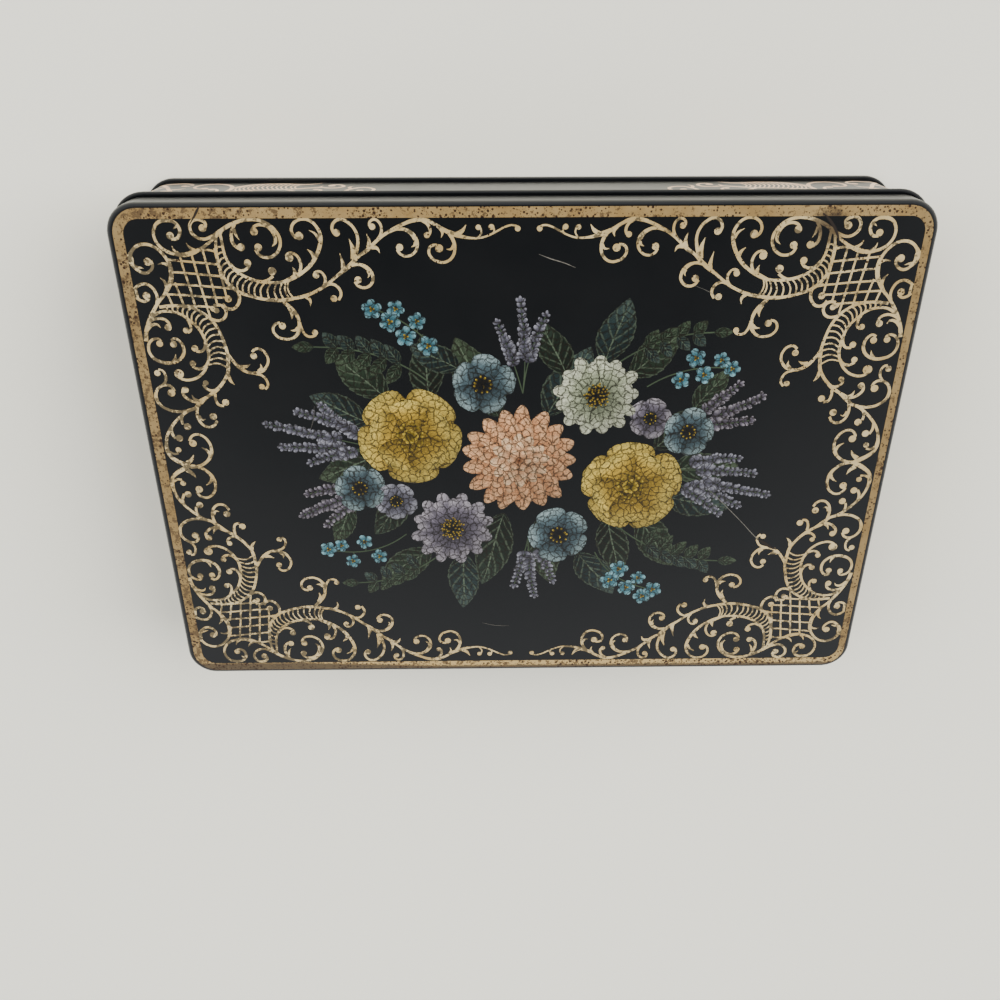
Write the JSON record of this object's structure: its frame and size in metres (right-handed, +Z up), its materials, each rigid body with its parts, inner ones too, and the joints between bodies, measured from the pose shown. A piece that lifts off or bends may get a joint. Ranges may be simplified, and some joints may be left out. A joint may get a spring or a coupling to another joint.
{
  "type": "candy tin",
  "caption": "Flat rectangular tinplate candy tin with rounded corners and a loose lift-off lid over a seamed body.",
  "frame": {"origin": "middle of the bottom rim's face, on the surface that the tin lies on", "axes": "+X along the long side, +Y along the short side towards the top of the lid's picture, +Z up through the lid"},
  "size_m": [0.2508, 0.1748, 0.042],
  "materials": {
    "lid_lacquer": "gloss black stoving lacquer with gold and coloured printing",
    "body_lacquer": "gloss black stoving lacquer with gold printing outside, clear gold lacquer inside",
    "bottom_lacquer": "black lacquer outside, clear gold lacquer inside"
  },
  "bodies": {
    "body": {"body_wall": "body_lacquer", "bottom_panel": "bottom_lacquer"},
    "lid": {"lid": "lid_lacquer"}
  },
  "joints": [
    {"name": "lid_lift", "type": "slide", "parent": "body", "child": "lid", "axis": [0, 0, 1], "range_m": [0, 0.06]}
  ]
}
